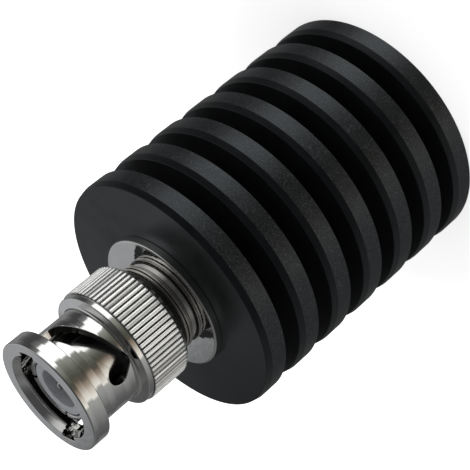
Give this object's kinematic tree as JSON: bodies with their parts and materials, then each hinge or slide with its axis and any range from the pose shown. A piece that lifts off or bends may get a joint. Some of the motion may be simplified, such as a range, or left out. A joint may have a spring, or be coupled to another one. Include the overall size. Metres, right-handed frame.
{
  "type": "coaxial dummy load",
  "caption": "Coaxial load: a round black finned heat sink with a nickel bayonet plug on its front, used to end a radio line in place of an antenna.",
  "frame": {"origin": "centre of the heat sink's flat rear face", "axes": "+Z along the axis, from the heat sink towards the plug; -Y is the side that the picture shows; the part stands on its rear face"},
  "size_m": [0.03, 0.03, 0.0531],
  "materials": {
    "black_anodised": "satin black anodised, turned",
    "nickel_plate": "bright nickel plate on turned brass",
    "spring_steel": "plain spring steel",
    "silicone_rubber": "matte dark grey silicone rubber",
    "contact_plate": "bright nickel plate on spring brass",
    "silver_plate": "silver plate on brass",
    "white_insulator": "waxy white fluoropolymer",
    "tinned_brass": "satin tin plate",
    "ceramic": "unglazed alumina ceramic",
    "resistive_film": "thin fired resistive coat",
    "bare_brass": "turned bare brass"
  },
  "bodies": {
    "load_body": {"heat_sink": "black_anodised", "plug_body": "nickel_plate", "rear_thrust_washer": "spring_steel", "rear_wave_washer": "spring_steel", "front_wave_washer": "spring_steel", "retaining_ring": "spring_steel", "sealing_gasket": "silicone_rubber", "outer_contact": "contact_plate", "center_pin": "silver_plate", "front_insulator": "white_insulator", "rear_bead": "white_insulator", "contact_socket": "silver_plate", "front_end_cap": "tinned_brass", "resistor_rod": "ceramic", "resistor_film": "resistive_film", "rear_end_cap": "tinned_brass", "matching_sleeve": "bare_brass", "ground_collet": "bare_brass"},
    "thrust_pack": {"front_thrust_washer": "spring_steel"},
    "coupling": {"coupling_sleeve": "nickel_plate"}
  },
  "joints": [
    {"name": "coupling_slide", "type": "slide", "parent": "load_body", "child": "thrust_pack", "axis": [0, 0, 1], "range_m": [0, 0.00075], "stiffness_N_per_m": 12000, "springref_m": -0.0006, "deforming": ["rear_wave_washer", "front_wave_washer"]},
    {"name": "coupling_spin", "type": "hinge", "parent": "thrust_pack", "child": "coupling", "pos_m": [0, 0, 0.0409], "axis": [0, 0, 1], "continuous": true}
  ]
}
